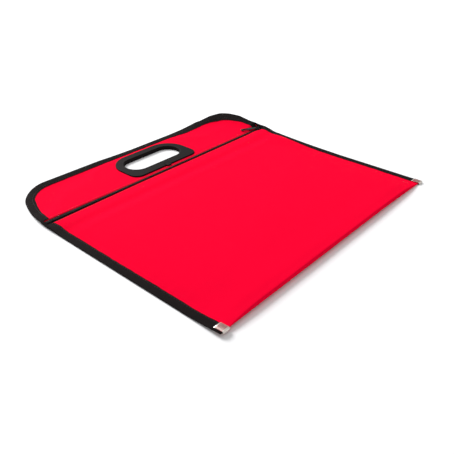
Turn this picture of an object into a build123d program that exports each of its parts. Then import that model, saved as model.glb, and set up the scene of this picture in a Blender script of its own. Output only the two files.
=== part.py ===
from build123d import *
import math
import os

os.makedirs("parts", exist_ok=True)

# A flat zip bag lying on its back. +X runs along the zip, +Y to the top edge, +Z up.

# Overall sizes
bag_width = 360.0
bag_height = 334.0
header_height = 84.0  # zip centre line to the top edge
flank_radius = 170.0  # the slow lean of each side below its top corner
flank_turn = 22.0  # degrees turned by the lean before the corner proper
shoulder_radius = 45.0

# Cloth, tape and metal thicknesses
cloth = 0.5
binding_cloth = 0.4
clip_metal = 0.3
zip_cloth = 0.4

# Edge binding and its end clips
binding_width = 10.0
seam_ease = 0.2  # room between a panel's cut edge and the fold of the binding
clip_length = 10.5
clip_nose = 1.2  # closed end of a clip to the fold of the cloth
clip_ribs = 6
rib_pitch = 1.55
rib_radius = 0.42
rib_lift = 0.15
rib_start = 1.4

# Pocket
crown_height = 5.0  # how far the front cloth stands off the back cloth
crown_margin = 40.0  # side edge to the level part of the front cloth
seam_flat = 11.0  # width of the flat seam at each side
pocket_back_rise = 4.5  # zip centre to the start of the rise of the back cloth
rise_length = 3.0
front_rise = 29.8  # zip centre to the start of the rise of the side seam
front_level = 13.8  # zip centre to the level cloth beside the zip

# Zip
zip_gap = 0.8
half_tape = 11.0
coil_width = 1.5
coil_height = 1.3
coil_room_width = 0.7
coil_room_height = 0.6
filler_diameter = 0.55
hem_half_gap = 2.8
tape_end_room = 1.8
coil_end_room = 2.6

# Slider and puller
slide_room = 0.15
slider_length = 9.0
slider_plate_width = 7.4
slider_top_plate = 0.6
slider_low_plate = 0.8
slider_low_width = 7.0
rim_width = 1.0
rim_drop = 0.7
divider_width = 0.5
divider_length = 3.0
slider_from_side = 5.6  # side edge to the middle of the closed slider
slider_bay = 9.2  # length of binding cut away over each end of the zip
arch_half_span = 1.3
arch_bar = 0.8
arch_width = 1.0
puller_length = 27.0
puller_root_width = 5.2
puller_tip_width = 6.2
puller_plate = 0.8
puller_lift = 0.4  # room between the slider's top plate and the puller
puller_skew = 25.0  # degrees from the zip towards the top edge
eye_width = 2.9
eye_length = 2.8
slot_length = 8.0
slot_width = 2.6
slot_from_tip = 2.6

# Hand hole frames
handle_gap = 7.3  # zip centre to the lower edge of the front frame
handle_width = 105.6
handle_shift = 4.8  # middle of the bag to the middle of the hand hole
handle_height = 58.9
handle_top_radius = 29.0
handle_low_radius = 12.0
hole_width = 84.4
hole_height = 34.0
hole_top_radius = 16.9
hole_low_radius = 16.6
top_rail = 11.1
front_frame = 1.6
back_frame = 2.3
back_frame_inset = 3.0
collar_wall = 2.0
collar_end = 0.3
collar_ease = 0.2
cloth_ease = 0.3
pin_radius = 1.5
pin_room = 0.05
pin_spacing = 36.0
pin_from_edge = 6.8
pin_end = 0.9
nub_width = 7.0
nub_depth = 8.0
nub_reach = 2.0  # how far the catch nub stands out of the frame's lower edge
nub_rise = 0.2
nub_groove = 0.6
nub_edge = 0.35
nub_drop = 0.1
nub_round = 1.6
frame_round = 0.9
back_round = 0.5
pin_floor = 0.1

# Heights that follow from the thicknesses
binding_under = clip_metal
back_under = binding_under + binding_cloth
back_top = back_under + cloth
seam_top = back_top + cloth
header_back_under = back_frame
tape_under = header_back_under + cloth
hem_under = tape_under + zip_cloth
hem_top = hem_under + cloth
frame_top = hem_top + front_frame
coil_top = hem_under + coil_height
plate_under = coil_top + slide_room
plate_top = plate_under + slider_top_plate
low_plate_top = tape_under - slide_room
pull_axis = plate_top + puller_lift + puller_plate / 2
arch_under = pull_axis + puller_plate / 2 + slide_room

# Places that follow from the sizes
side = bag_width / 2
top_edge = bag_height / 2
low_edge = -bag_height / 2
fold_edge = low_edge + clip_metal + clip_nose
zip_line = top_edge - header_height
panel_edge = binding_cloth + seam_ease
seam_side = side - panel_edge
rise_start = zip_line + pocket_back_rise
rise_end = rise_start + rise_length
seam_rise_start = zip_line - front_rise
seam_rise_end = zip_line - front_level
front_hem = zip_line - hem_half_gap
header_hem = zip_line + hem_half_gap
handle_low = zip_line + handle_gap
handle_middle = handle_low + handle_height / 2
hole_middle = handle_low + handle_height - top_rail - hole_height / 2
pin_row = handle_low + pin_from_edge
nub_middle = handle_low - nub_reach + nub_depth / 2
slider_middle = side - slider_from_side

# The corner arcs share their centres at every inset
shoulder_x = side - flank_radius + (flank_radius - shoulder_radius) * math.cos(math.radians(flank_turn))
shoulder_y = top_edge - shoulder_radius
flank_x = side - flank_radius
flank_y = shoulder_y - (flank_radius - shoulder_radius) * math.sin(math.radians(flank_turn))


def outline(inset, foot):
    """Returns the bag's outline below the bag, moved in by inset, with its lower edge at foot."""
    flank = flank_radius - inset
    shoulder = shoulder_radius - inset
    with BuildSketch(Plane.XY.offset(-1)) as shape:
        with BuildLine():
            right_flank = CenterArc((flank_x, flank_y), flank, 0, flank_turn)
            right_corner = CenterArc((shoulder_x, shoulder_y), shoulder, flank_turn, 90 - flank_turn)
            left_corner = CenterArc((-shoulder_x, shoulder_y), shoulder, 90, 90 - flank_turn)
            left_flank = CenterArc((-flank_x, flank_y), flank, 180 - flank_turn, flank_turn)
            Line(right_corner @ 1, left_corner @ 0)
            Polyline(left_flank @ 1, (-side + inset, foot), (side - inset, foot), right_flank @ 0)
        make_face()
    return shape.sketch


def side_profile(lower, upper):
    """Returns a strip between two lines of (y, z) points on the YZ plane."""
    with BuildSketch(Plane.YZ) as strip:
        with BuildLine():
            Polyline(*lower, *reversed(upper), close=True)
        make_face()
    return strip.sketch


def rounded_frame(height, width, depth, middle, top_radius, low_radius):
    """Returns the D shape of the hand hole frames, with its larger corners at the top."""
    with BuildSketch(Plane.XY.offset(height)) as shape:
        with Locations((handle_shift, middle)):
            Rectangle(width, depth)
        fillet(shape.vertices().group_by(Axis.Y)[-1], top_radius)
        fillet(shape.vertices().group_by(Axis.Y)[0], low_radius)
    return shape.sketch


def hole_shape(height, grow):
    """Returns the hand hole at a height, made larger all round by grow."""
    return rounded_frame(
        height,
        hole_width + 2 * grow,
        hole_height + 2 * grow,
        hole_middle,
        hole_top_radius + grow,
        hole_low_radius + grow,
    )


def pin_circles(height, radius):
    """Returns the row of round pins in the frame's lower rail."""
    with BuildSketch(Plane.XY.offset(height)) as circles:
        with Locations(*[(handle_shift + n * pin_spacing, pin_row) for n in (-1, 0, 1)]):
            Circle(radius)
    return circles.sketch


def cut_for_handle():
    """Cuts the way through a panel for the collar and pins of the front frame."""
    extrude(hole_shape(-1, collar_wall + cloth_ease), amount=20, mode=Mode.SUBTRACT)
    extrude(pin_circles(-1, pin_radius + cloth_ease), amount=20, mode=Mode.SUBTRACT)


# Back panel: one flat cloth that steps up under the header
with BuildPart() as back_panel:
    back_strip = side_profile(
        [
            (fold_edge + cloth, back_under),
            (rise_start, back_under),
            (rise_end, header_back_under),
            (top_edge, header_back_under),
        ],
        [
            (fold_edge + cloth, back_top),
            (rise_start, back_top),
            (rise_end, tape_under),
            (top_edge, tape_under),
        ],
    )
    extrude(back_strip, amount=side, both=True)
    extrude(outline(panel_edge, low_edge - 5), amount=20, mode=Mode.INTERSECT)
    cut_for_handle()
back_panel.part.label = "back_panel"

# Front panel: a crowned cloth from the bottom fold to the hem beside the zip
level_side = side - crown_margin
flat_side = side - seam_flat
fold_share = 0.64
stations = [
    (fold_edge + cloth, back_top, fold_share),
    (fold_edge + 9.5, back_top, 0.88),
    (-0.3 * bag_height, back_top, 1.0),
    (0.12 * bag_height, back_top, 0.92),
    (seam_rise_start, back_top, 0.84),
    (seam_rise_end, hem_under, 0.18),
    (front_hem, hem_under, 0.02),
]


def front_section(y, seam, crown):
    """Returns the front cloth's cross-section at y: flat at the seams, level in the middle."""
    with BuildSketch(Plane.XZ.offset(-y)) as section:
        with BuildLine():
            Polyline(
                (-seam_side, seam),
                (-flat_side, seam),
                (-level_side, crown),
                (level_side, crown),
                (flat_side, seam),
                (seam_side, seam),
                (seam_side, seam + cloth),
                (flat_side, seam + cloth),
                (level_side, crown + cloth),
                (-level_side, crown + cloth),
                (-flat_side, seam + cloth),
                (-seam_side, seam + cloth),
                close=True,
            )
        make_face()
    return section.sketch.face()


def fold_section(y, seam, crown):
    """Returns the wall of the bottom fold at y, from the back cloth's underside up."""
    with BuildSketch(Plane.XZ.offset(-y)) as section:
        with BuildLine():
            Polyline(
                (-seam_side, back_under),
                (seam_side, back_under),
                (seam_side, seam),
                (flat_side, seam),
                (level_side, crown),
                (-level_side, crown),
                (-flat_side, seam),
                (-seam_side, seam),
                close=True,
            )
        make_face()
    return section.sketch.face()


with BuildPart() as front_panel:
    pocket_sections = [front_section(y, seam, seam + share * crown_height) for y, seam, share in stations]
    loft(pocket_sections, ruled=True)
    fold_crown = back_top + fold_share * crown_height + cloth
    loft([
        fold_section(fold_edge, seam_top, fold_crown - cloth),
        fold_section(fold_edge + cloth, seam_top, fold_crown),
    ], ruled=True)
front_panel.part.label = "front_panel"

# Header panel: the front cloth above the zip
with BuildPart() as header_panel:
    header_strip = side_profile(
        [(header_hem, hem_under), (top_edge, hem_under)],
        [(header_hem, hem_top), (top_edge, hem_top)],
    )
    extrude(header_strip, amount=side, both=True)
    extrude(outline(panel_edge, low_edge - 5), amount=20, mode=Mode.INTERSECT)
    cut_for_handle()
header_panel.part.label = "header_panel"

# Edge binding: a tape folded over the panel edges up one side, over the top and down the other
with BuildPart() as seam_room:
    room_strip = side_profile(
        [
            (low_edge - 5, back_under),
            (rise_start, back_under),
            (rise_end, header_back_under),
            (top_edge, header_back_under),
        ],
        [
            (low_edge - 5, seam_top),
            (seam_rise_start, seam_top),
            (seam_rise_end, hem_top),
            (top_edge, hem_top),
        ],
    )
    extrude(room_strip, amount=side, both=True)
    extrude(outline(binding_cloth, low_edge - 10), amount=20, mode=Mode.INTERSECT)

with BuildPart() as edge_binding:
    binding_strip = side_profile(
        [
            (fold_edge, binding_under),
            (rise_start, binding_under),
            (rise_end, header_back_under - binding_cloth),
            (top_edge, header_back_under - binding_cloth),
        ],
        [
            (fold_edge, seam_top + binding_cloth),
            (seam_rise_start, seam_top + binding_cloth),
            (seam_rise_end, hem_top + binding_cloth),
            (top_edge, hem_top + binding_cloth),
        ],
    )
    extrude(binding_strip, amount=side, both=True)
    extrude(outline(0, low_edge - 5), amount=20, mode=Mode.INTERSECT)
    extrude(outline(binding_width, low_edge - 5), amount=20, mode=Mode.SUBTRACT)
    add(seam_room.part, mode=Mode.SUBTRACT)
    with BuildSketch(Plane.XY.offset(hem_top)):
        with Locations((0, zip_line)):
            Rectangle(2 * (side - binding_cloth), slider_bay)
    extrude(amount=2 * binding_cloth, mode=Mode.SUBTRACT)
edge_binding.part.label = "edge_binding"


def corner_clip(outer, inward):
    """Builds one U-shaped metal clip on a binding end, from its outer side inwards."""
    upper = seam_top + binding_cloth
    leaf_end = low_edge + clip_length
    with BuildSketch(Plane.YZ.offset(outer)) as profile:
        with BuildLine():
            Polyline(
                (low_edge, 0),
                (leaf_end, 0),
                (leaf_end, clip_metal),
                (low_edge + clip_metal, clip_metal),
                (low_edge + clip_metal, upper),
                (leaf_end, upper),
                (leaf_end, upper + clip_metal),
                (low_edge, upper + clip_metal),
                close=True,
            )
        make_face()
        first_rib = low_edge + rib_start
        rib_height = upper + clip_metal + rib_lift
        with Locations(*[(first_rib + rib_pitch * n, rib_height) for n in range(clip_ribs)]):
            Circle(rib_radius)
    extrude(profile.sketch, amount=inward * binding_width)


with BuildPart() as corner_clip_left:
    corner_clip(-side, 1)
corner_clip_left.part.label = "corner_clip_left"

with BuildPart() as corner_clip_right:
    corner_clip(side, -1)
corner_clip_right.part.label = "corner_clip_right"


def zip_tape(direction):
    """Builds one woven half of the zip, on the side of the zip line given by direction."""
    with BuildSketch(Plane.XY.offset(tape_under)) as strip:
        with Locations((0, zip_line + direction * (zip_gap + half_tape) / 2)):
            Rectangle(2 * (side - tape_end_room), half_tape)
    extrude(strip.sketch, amount=zip_cloth)


with BuildPart() as zip_tape_upper:
    zip_tape(1)
zip_tape_upper.part.label = "zip_tape_upper"

with BuildPart() as zip_tape_lower:
    zip_tape(-1)
zip_tape_lower.part.label = "zip_tape_lower"

coil_half_length = side - coil_end_room


def coil(direction):
    """Builds one coil of the zip as a bar, hollow where its filler cord runs."""
    middle = zip_line + direction * (zip_gap + coil_width) / 2
    height = hem_under + coil_height / 2
    with BuildSketch(Plane.YZ.offset(-coil_half_length)) as bar:
        with Locations((middle, height)):
            RectangleRounded(coil_width, coil_height, 0.3)
            Rectangle(coil_room_width, coil_room_height, mode=Mode.SUBTRACT)
    extrude(bar.sketch, amount=2 * coil_half_length)


def filler_cord(direction):
    """Builds the round filler cord inside one coil."""
    middle = zip_line + direction * (zip_gap + coil_width) / 2
    height = hem_under + coil_height / 2
    with BuildSketch(Plane.YZ.offset(-coil_half_length)) as round_section:
        with Locations((middle, height)):
            Circle(filler_diameter / 2)
    extrude(round_section.sketch, amount=2 * coil_half_length)


with BuildPart() as zip_coil_upper:
    coil(1)
zip_coil_upper.part.label = "zip_coil_upper"

with BuildPart() as zip_coil_lower:
    coil(-1)
zip_coil_lower.part.label = "zip_coil_lower"

with BuildPart() as zip_cord_upper:
    filler_cord(1)
zip_cord_upper.part.label = "zip_cord_upper"

with BuildPart() as zip_cord_lower:
    filler_cord(-1)
zip_cord_lower.part.label = "zip_cord_lower"

# Slider body: two plates joined by the thin divider, with the puller's arch on top
with BuildPart() as slider_body:
    with BuildSketch(Plane.XY.offset(plate_under)):
        with Locations((slider_middle, zip_line)):
            RectangleRounded(slider_length, slider_plate_width, 1.6)
    extrude(amount=slider_top_plate)
    with BuildSketch(Plane.XY.offset(low_plate_top - slider_low_plate)):
        with Locations((slider_middle, zip_line)):
            RectangleRounded(slider_length, slider_low_width, 1.6)
    extrude(amount=slider_low_plate)
    with BuildSketch(Plane.XY.offset(low_plate_top)):
        with Locations((slider_middle + slider_length / 2 - divider_length / 2 - 1, zip_line)):
            Rectangle(divider_length, divider_width)
    extrude(amount=plate_under - low_plate_top)
    with BuildSketch(Plane.XY.offset(plate_under - rim_drop)):
        for direction in (-1, 1):
            rim_middle = direction * (slider_plate_width - rim_width) / 2
            with Locations((slider_middle, zip_line + rim_middle)):
                Rectangle(slider_length - 3.6, rim_width)
    extrude(amount=rim_drop)
    with BuildSketch(Plane.XZ.offset(-zip_line)):
        with Locations((slider_middle, (plate_top + arch_under + arch_bar) / 2)):
            Rectangle(2 * (arch_half_span + arch_bar), arch_under + arch_bar - plate_top)
        with Locations((slider_middle, (plate_top + arch_under) / 2)):
            Rectangle(2 * arch_half_span, arch_under - plate_top, mode=Mode.SUBTRACT)
    extrude(amount=arch_width / 2, both=True)
slider_body.part.label = "slider_body"

# Puller: a flat tab whose eye passes under the slider's arch
skew = math.radians(puller_skew)
puller_plane = Plane(
    origin=(slider_middle, zip_line, pull_axis - puller_plate / 2),
    x_dir=(-math.cos(skew), math.sin(skew), 0),
    z_dir=(0, 0, 1),
)
root_end = puller_plate / 2
with BuildPart() as puller_tab:
    with BuildSketch(puller_plane) as puller_outline:
        with BuildLine():
            Polyline(
                (-root_end, -puller_root_width / 2),
                (eye_length + 2.4, -puller_root_width / 2),
                (puller_length, -puller_tip_width / 2),
                (puller_length, puller_tip_width / 2),
                (eye_length + 2.4, puller_root_width / 2),
                (-root_end, puller_root_width / 2),
                close=True,
            )
        make_face()
        tip_points = [v for v in puller_outline.vertices() if v.X > puller_length - 1]
        fillet(tip_points, 2.4)
        with Locations((root_end + eye_length / 2, 0)):
            Rectangle(eye_length, eye_width, mode=Mode.SUBTRACT)
        with Locations((puller_length - slot_from_tip - slot_length / 2, 0)):
            SlotOverall(slot_length, slot_width, mode=Mode.SUBTRACT)
    extrude(amount=puller_plate)
puller_tab.part.label = "puller_tab"

# Front frame of the hand hole: a moulded rim with a collar and pins that pass through the cloth
with BuildPart() as handle_front:
    front_outline = rounded_frame(
        hem_top, handle_width, handle_height, handle_middle, handle_top_radius, handle_low_radius
    )
    extrude(front_outline, amount=front_frame)
    extrude(hole_shape(collar_end, collar_wall), amount=frame_top - collar_end)
    extrude(hole_shape(collar_end, 0), amount=frame_top - collar_end, mode=Mode.SUBTRACT)
    fillet(handle_front.faces().sort_by(Axis.Z)[-1].edges(), frame_round)
    extrude(pin_circles(pin_end, pin_radius), amount=hem_top - pin_end)
    with BuildSketch(Plane.XY.offset(frame_top)):
        with Locations((handle_shift, nub_middle)):
            RectangleRounded(nub_width + 2 * nub_groove, nub_depth + 2 * nub_groove, nub_round + nub_groove)
    extrude(amount=-nub_groove, mode=Mode.SUBTRACT)
    with BuildSketch(Plane.XY.offset(hem_top + nub_drop)):
        with Locations((handle_shift, nub_middle)):
            RectangleRounded(nub_width, nub_depth, nub_round)
    extrude(amount=front_frame + nub_rise - nub_drop)
    fillet(handle_front.faces().sort_by(Axis.Z)[-1].edges(), nub_edge)
handle_front.part.label = "handle_front"

# Back frame: a smaller rim that the collar and pins are pressed into
with BuildPart() as handle_back:
    back_outline = rounded_frame(
        0,
        handle_width - 2 * back_frame_inset,
        handle_height - 2 * back_frame_inset,
        handle_middle,
        handle_top_radius - back_frame_inset,
        handle_low_radius - back_frame_inset,
    )
    extrude(back_outline, amount=back_frame)
    extrude(hole_shape(0, collar_wall + collar_ease), amount=back_frame, mode=Mode.SUBTRACT)
    extrude(pin_circles(pin_end - pin_floor, pin_radius + pin_room), amount=back_frame, mode=Mode.SUBTRACT)
    fillet(handle_back.faces().sort_by(Axis.Z)[0].edges(), back_round)
handle_back.part.label = "handle_back"

for piece in (
    back_panel,
    front_panel,
    header_panel,
    edge_binding,
    corner_clip_left,
    corner_clip_right,
    zip_tape_upper,
    zip_tape_lower,
    zip_coil_upper,
    zip_coil_lower,
    zip_cord_upper,
    zip_cord_lower,
    slider_body,
    puller_tab,
    handle_front,
    handle_back,
):
    export_step(piece.part, f"parts/{piece.part.label}.step")
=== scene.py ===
"""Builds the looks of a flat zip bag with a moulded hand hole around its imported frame."""

import math

import bmesh
import bpy
import numpy as np
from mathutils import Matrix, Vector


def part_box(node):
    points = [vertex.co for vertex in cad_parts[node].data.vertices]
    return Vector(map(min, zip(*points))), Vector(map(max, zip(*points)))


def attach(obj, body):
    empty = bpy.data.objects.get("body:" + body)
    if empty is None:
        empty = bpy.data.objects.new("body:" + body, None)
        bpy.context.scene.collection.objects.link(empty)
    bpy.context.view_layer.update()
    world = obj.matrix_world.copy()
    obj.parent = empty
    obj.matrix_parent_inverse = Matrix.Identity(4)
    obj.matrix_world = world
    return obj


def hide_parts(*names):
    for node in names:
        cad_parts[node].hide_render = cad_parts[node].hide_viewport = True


bl_info = {
    "name": "Zip document bag",
    "version": (1, 0, 0),
    "blender": (4, 5, 0),
    "location": "3D View > Sidebar > Zip bag",
    "description": "Models a flat cloth bag with a zip, bound edges and a moulded hand hole",
    "category": "Add Mesh",
}

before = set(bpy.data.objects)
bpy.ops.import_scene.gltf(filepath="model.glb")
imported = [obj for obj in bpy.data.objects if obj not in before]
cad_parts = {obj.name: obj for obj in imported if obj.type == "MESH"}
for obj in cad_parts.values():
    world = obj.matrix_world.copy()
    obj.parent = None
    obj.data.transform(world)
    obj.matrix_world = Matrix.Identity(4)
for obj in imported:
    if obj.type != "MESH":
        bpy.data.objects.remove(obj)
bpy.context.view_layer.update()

MM = 0.001

# Sizes and places taken from the frame, in metres
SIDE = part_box("edge_binding")[1].x
TOP_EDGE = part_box("edge_binding")[1].y
FOLD_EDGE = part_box("front_panel")[0].y
BACK_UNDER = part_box("back_panel")[0].z
HEADER_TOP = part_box("header_panel")[1].z
CLOTH = HEADER_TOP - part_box("header_panel")[0].z
TAPE_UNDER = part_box("zip_tape_upper")[0].z
TAPE_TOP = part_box("zip_tape_upper")[1].z
TAPE_HALF_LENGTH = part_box("zip_tape_upper")[1].x
HALF_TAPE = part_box("zip_tape_upper")[1].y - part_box("zip_tape_upper")[0].y
BINDING_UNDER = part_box("edge_binding")[0].z
BINDING_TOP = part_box("edge_binding")[1].z
BINDING_CLOTH = BINDING_TOP - HEADER_TOP
COIL_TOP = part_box("zip_coil_upper")[1].z
COIL_HALF_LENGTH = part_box("zip_coil_upper")[1].x
ZIP_LINE = (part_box("zip_coil_upper")[0].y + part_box("zip_coil_lower")[1].y) / 2
ZIP_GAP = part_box("zip_tape_upper")[0].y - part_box("zip_tape_lower")[1].y
PANEL_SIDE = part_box("front_panel")[1].x
SEAM_TOP = BACK_UNDER + 2 * CLOTH
HEADER_BACK_UNDER = TAPE_UNDER - CLOTH
CLOTH_TOP_EDGE = TOP_EDGE - BINDING_CLOTH - 0.3 * MM

# A drawn cloth is a little thinner than its room in the frame
CLOTH_SHARE = 0.9

# The outline's corners: a slow lean, then the corner proper
FLANK_RADIUS = 170 * MM
FLANK_TURN = math.radians(22)
SHOULDER_RADIUS = 45 * MM
SHOULDER_Y = TOP_EDGE - SHOULDER_RADIUS
FLANK_X = SIDE - FLANK_RADIUS
SHOULDER_X = FLANK_X + (FLANK_RADIUS - SHOULDER_RADIUS) * math.cos(FLANK_TURN)
FLANK_Y = SHOULDER_Y - (FLANK_RADIUS - SHOULDER_RADIUS) * math.sin(FLANK_TURN)

# The hand hole is a long slot with round ends
HOLE_X = (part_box("handle_front")[0].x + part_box("handle_front")[1].x) / 2
FRAME_TOP_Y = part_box("handle_front")[1].y
TOP_RAIL = 11.1 * MM
HOLE_RADIUS = 17 * MM
HOLE_Y = FRAME_TOP_Y - TOP_RAIL - HOLE_RADIUS
HOLE_STRAIGHT = 25.2 * MM
COLLAR_REACH = 2.6 * MM
HOLE_SNAP = 6 * MM

# The curl of the right edge, by x - y, as shares of its greatest lift
CURL_REACH = 55 * MM
CURL_LIP = 20 * MM
CURL_PLACES = (
    np.array([-60, -49, -27, -6, 15, 36, 56, 76, 88, 96, 105, 110, 121, 132, 153, 174, 195, 230]) * MM
)
CURL_SHARES = np.array(
    [0, 0.02, 0.19, 0.68, 0.94, 1, 0.92, 0.58, 0.5, 0.44, 0.42, 0.32, 0.23, 0.22, 0.14, 0.09, 0.05, 0]
)

# Soft steps of the lift, each as the place where it starts and its length
CURL_STEP = (50 * MM, 40 * MM)
ZIP_DIP_STEP = (4 * MM, 7 * MM)
CURB_STEP = (0.4 * MM, 1.4 * MM)
BESIDE_HOLE_STEP = (60 * MM, 45 * MM)
FAR_LEFT_STEP = (120 * MM, 40 * MM)
SAG_END_STEP = (145 * MM, 25 * MM)
FOOT_END_STEP = (60 * MM, 100 * MM)

# The header's sag starts level with the hand hole frame's top. Beside the hand hole and at the far
# left it starts lower by the first number, and its run changes by the second
SAG_RUN = 8.5 * MM
SAG_BESIDE_HOLE = (30 * MM, 20 * MM)
SAG_FAR_LEFT = (24 * MM, -10 * MM)

# The lift of the top edge over the sagging header, by x, as shares of its greatest lift
RIM_REACH = 18 * MM
RIM_PLACES = np.array([-180, -150, -104, -45, -29, -12, 5, 78, 98, 118, 135, 150, 165]) * MM
RIM_SHARES = np.array([1, 1.1, 1, 0.85, 0.5, 0.25, 0.05, 0.05, 0.3, 0.85, 0.9, 0.8, 0.3])

# How far the bottom edge's small lift reaches
FOOT_REACH = 45 * MM

# The swell of the front cloth: its start inside the side edges, its run and its shares by y
SWELL_INSET = 11 * MM
SWELL_RUN = 46 * MM
SWELL_FULLNESS = 2.2
SWELL_PLACES = np.array([-167, -150, -100, 0, 40, 60, 77]) * MM
SWELL_SHARES = np.array([0.7, 0.93, 1.0, 0.97, 0.86, 0.34, 0.03])

# The bulge of the front cloth beside the zip's closed end: its middle and its spread
BULGE_MIDDLE = (164 * MM, 36 * MM)
BULGE_SPREAD = (11 * MM, 33 * MM)

# The pocket's side edges are pressed thinner, from some way below the zip
PRESS_SHARE = 0.3
PRESS_REACH = 8 * MM
PRESS_STEP = (25 * MM, 20 * MM)

# How far the panels' sides lie inside the outline, and how much more beside the zip's ends
PANEL_INSET = 0.8 * MM
ZIP_END_INSET = 1.7 * MM
ZIP_END_STEP = (7 * MM, 6 * MM)

# The header's own waves fade towards the zip and the top edge
HEADER_WAVE = 0.3 * MM
HEADER_LOW_STEP = (12 * MM, 20 * MM)
HEADER_TOP_STEP = (12 * MM, 15 * MM)

# Where the cloth steps up, measured from the zip line
BACK_RISE_PLACES = ZIP_LINE + np.array([4.5, 8.5]) * MM
SEAM_RISE_PLACES = ZIP_LINE + np.array([-30, -13.5]) * MM

# The bottom fold: its shares of the cloth's run, where its height is taken, its greatest depth,
# and its corners tucked into the clips
FOLD_START = 0.55
FOLD_END = 0.6
FOLD_SAMPLE = 5 * MM
FOLD_MOST_DEPTH = 4 * MM
FOLD_RUN = 8 * MM
FOLD_BLEND = 9 * MM
FOLD_ALLOWANCE = 5 * MM
TUCK = 2.5 * MM
TUCK_STEP = (-6 * MM, 4 * MM)

# The hems roll under at the zip, over these shares of the cloth's run
HEM_ROLL = 0.5 * MM
FRONT_ROLL_STEP = (0.985, 0.015)
HEADER_ROLL_SHARE = 0.03

# How far from the left side the gap between the hems narrows
HEM_CLOSING = 150 * MM

# The binding: shares of the tape's width where its leaves end and start, the turn at the edge, and
# the tape's flat width and the stitching's place as shares of the visible width
LOWER_LEAF_END = 0.4
UPPER_LEAF_START = 0.6
TURN_ROOM = 1.3 * MM
TAPE_WIDTHS = 2.2
STITCH_SHARE = 0.83

# The binding's upper leaf is wider at the top corners, by x, as shares added to its width
LEAF_PLACES = np.array([-180, -110, -40, 20, 70, 100, 160, 180]) * MM
LEAF_SHARES = np.array([0.15, 0.05, 0, 0, 0.1, 0.45, 0.35, 0.1])
LEAF_STEP = (95 * MM, 50 * MM)

# Length of the upper leaf cut away over each end of the zip, and the slope at its ends
SLIDER_BAY = 9.2 * MM
BAY_SLOPE = 1.5 * MM
BAY_STITCH_ROOM = SLIDER_BAY / 2 + 2 * MM

# The binding lies flat inside the clips, then swells between its fold and its stitching
CLIP_GRIP_STEP = (7 * MM, 8 * MM)
TAPE_SWELL = 0.3 * MM
STITCH_PINCH = 0.22 * MM
TAPE_WOBBLE = 0.12 * MM

# The zip's teeth, and the stitching of the hems beside them
TOOTH_RADIUS = 0.72 * MM
TOOTH_WIRE = 0.3 * MM
TOOTH_SCALE = (1.0, 0.55, 0.95)
TOOTH_OFFSET = 0.85 * MM
TOOTH_LEAN = math.radians(14)
HEM_STITCH_OFFSET = 2.2 * MM
HEM_STITCH_END = 12 * MM
STITCH_SIZE = (1.25 * MM, 0.3 * MM, 0.24 * MM)

# The ribs across a clip, the bars between them, and the dark red painted into the gaps between them as
# shade
CLIP_PITCH = 1.55 * MM
CLIP_FIRST_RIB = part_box("corner_clip_left")[0].y + 1.4 * MM
CLIP_LENGTH = 5 * CLIP_PITCH
CLIP_MIDDLE = CLIP_FIRST_RIB + CLIP_LENGTH / 2
CLIP_RIB_SHARE = 0.42
CLIP_BAR_SHARE = 0.3
CLIP_GAP_SHADE = (0.38, 0.015, 0.025)

# How much of the binding's outer edge a clip leaves bare
CLIP_BARE_EDGE = 2 * MM

# Rounding of the metal pieces' edges: joined points, flat faces, sharp edges and smooth shading
WELD = 0.002 * MM
FLAT_ANGLE = math.radians(4)
SHARP_ANGLE = math.radians(38)
SMOOTH_ANGLE = math.radians(40)

# Pitches of the cloths' weaves
OXFORD_PITCH = 0.62 * MM
RIB_PITCH = 1.15 * MM
RIB_THREAD = 0.34 * MM
HERRINGBONE = 1.6 * MM
TWILL_PITCH = 0.7 * MM
TWIST_PITCH = 0.5 * MM

# The studio
LIGHT_PLACE = (0.3, 2.5, 2.0)
LIGHT_SIZE = 2.0
LIGHT_POWER = 120
SKY_STRENGTH = 0.58
CAMERA_PLACE = (-0.4160, -0.38335, 0.3015)
CAMERA_DIP = 31.823
CAMERA_TURN = -48.32
CAMERA_LENS = 43.38


def smooth(t):
    """An S curve from 0 to 1."""
    t = np.clip(t, 0, 1)
    return t * t * (3 - 2 * t)


def soft_step(value, start, length):
    """A soft step from 0 to 1 that begins at start and takes length."""
    return smooth((value - start) / length)


def between(value, places, heights):
    """A soft line through heights at places."""
    at = np.interp(value, places, np.arange(len(places)))
    step = np.floor(at)
    low = np.take(heights, step.astype(int))
    high = np.take(heights, np.minimum(step + 1, len(places) - 1).astype(int))
    return low + (high - low) * smooth(at - step)


def ripple(x, y, seed, length):
    """A gentle uneven wave, about -1 to 1, the same each time."""
    total = np.zeros(np.broadcast(x, y).shape)
    for n in range(4):
        turn = seed * 1.7 + n * 2.4
        wave = length * (1 - 0.16 * n)
        total = total + np.sin((x * math.cos(turn) + y * math.sin(turn)) / wave * math.tau + turn * 3)
    return total / 4


def half_width(y, inset):
    """Half the bag's width at y, moved in by inset."""
    flank = FLANK_X + np.sqrt(np.maximum((FLANK_RADIUS - inset) ** 2 - (y - FLANK_Y) ** 2, 0))
    corner = SHOULDER_X + np.sqrt(np.maximum((SHOULDER_RADIUS - inset) ** 2 - (y - SHOULDER_Y) ** 2, 0))
    turn_y = FLANK_Y + (FLANK_RADIUS - inset) * math.sin(FLANK_TURN)
    return np.where(y < FLANK_Y, SIDE - inset, np.where(y < turn_y, flank, corner))


def edge_distance(x, y):
    """How far a place lies inside the bag's outline."""
    away = np.abs(x)
    to_flank = np.where(y < FLANK_Y, SIDE - away, FLANK_RADIUS - np.hypot(away - FLANK_X, y - FLANK_Y))
    to_corner = SHOULDER_RADIUS - np.hypot(away - SHOULDER_X, y - SHOULDER_Y)
    turned = (y - SHOULDER_Y > math.tan(FLANK_TURN) * (away - SHOULDER_X)) & (away > SHOULDER_X)
    return np.where(turned, to_corner, np.minimum(to_flank, TOP_EDGE - y))


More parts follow.
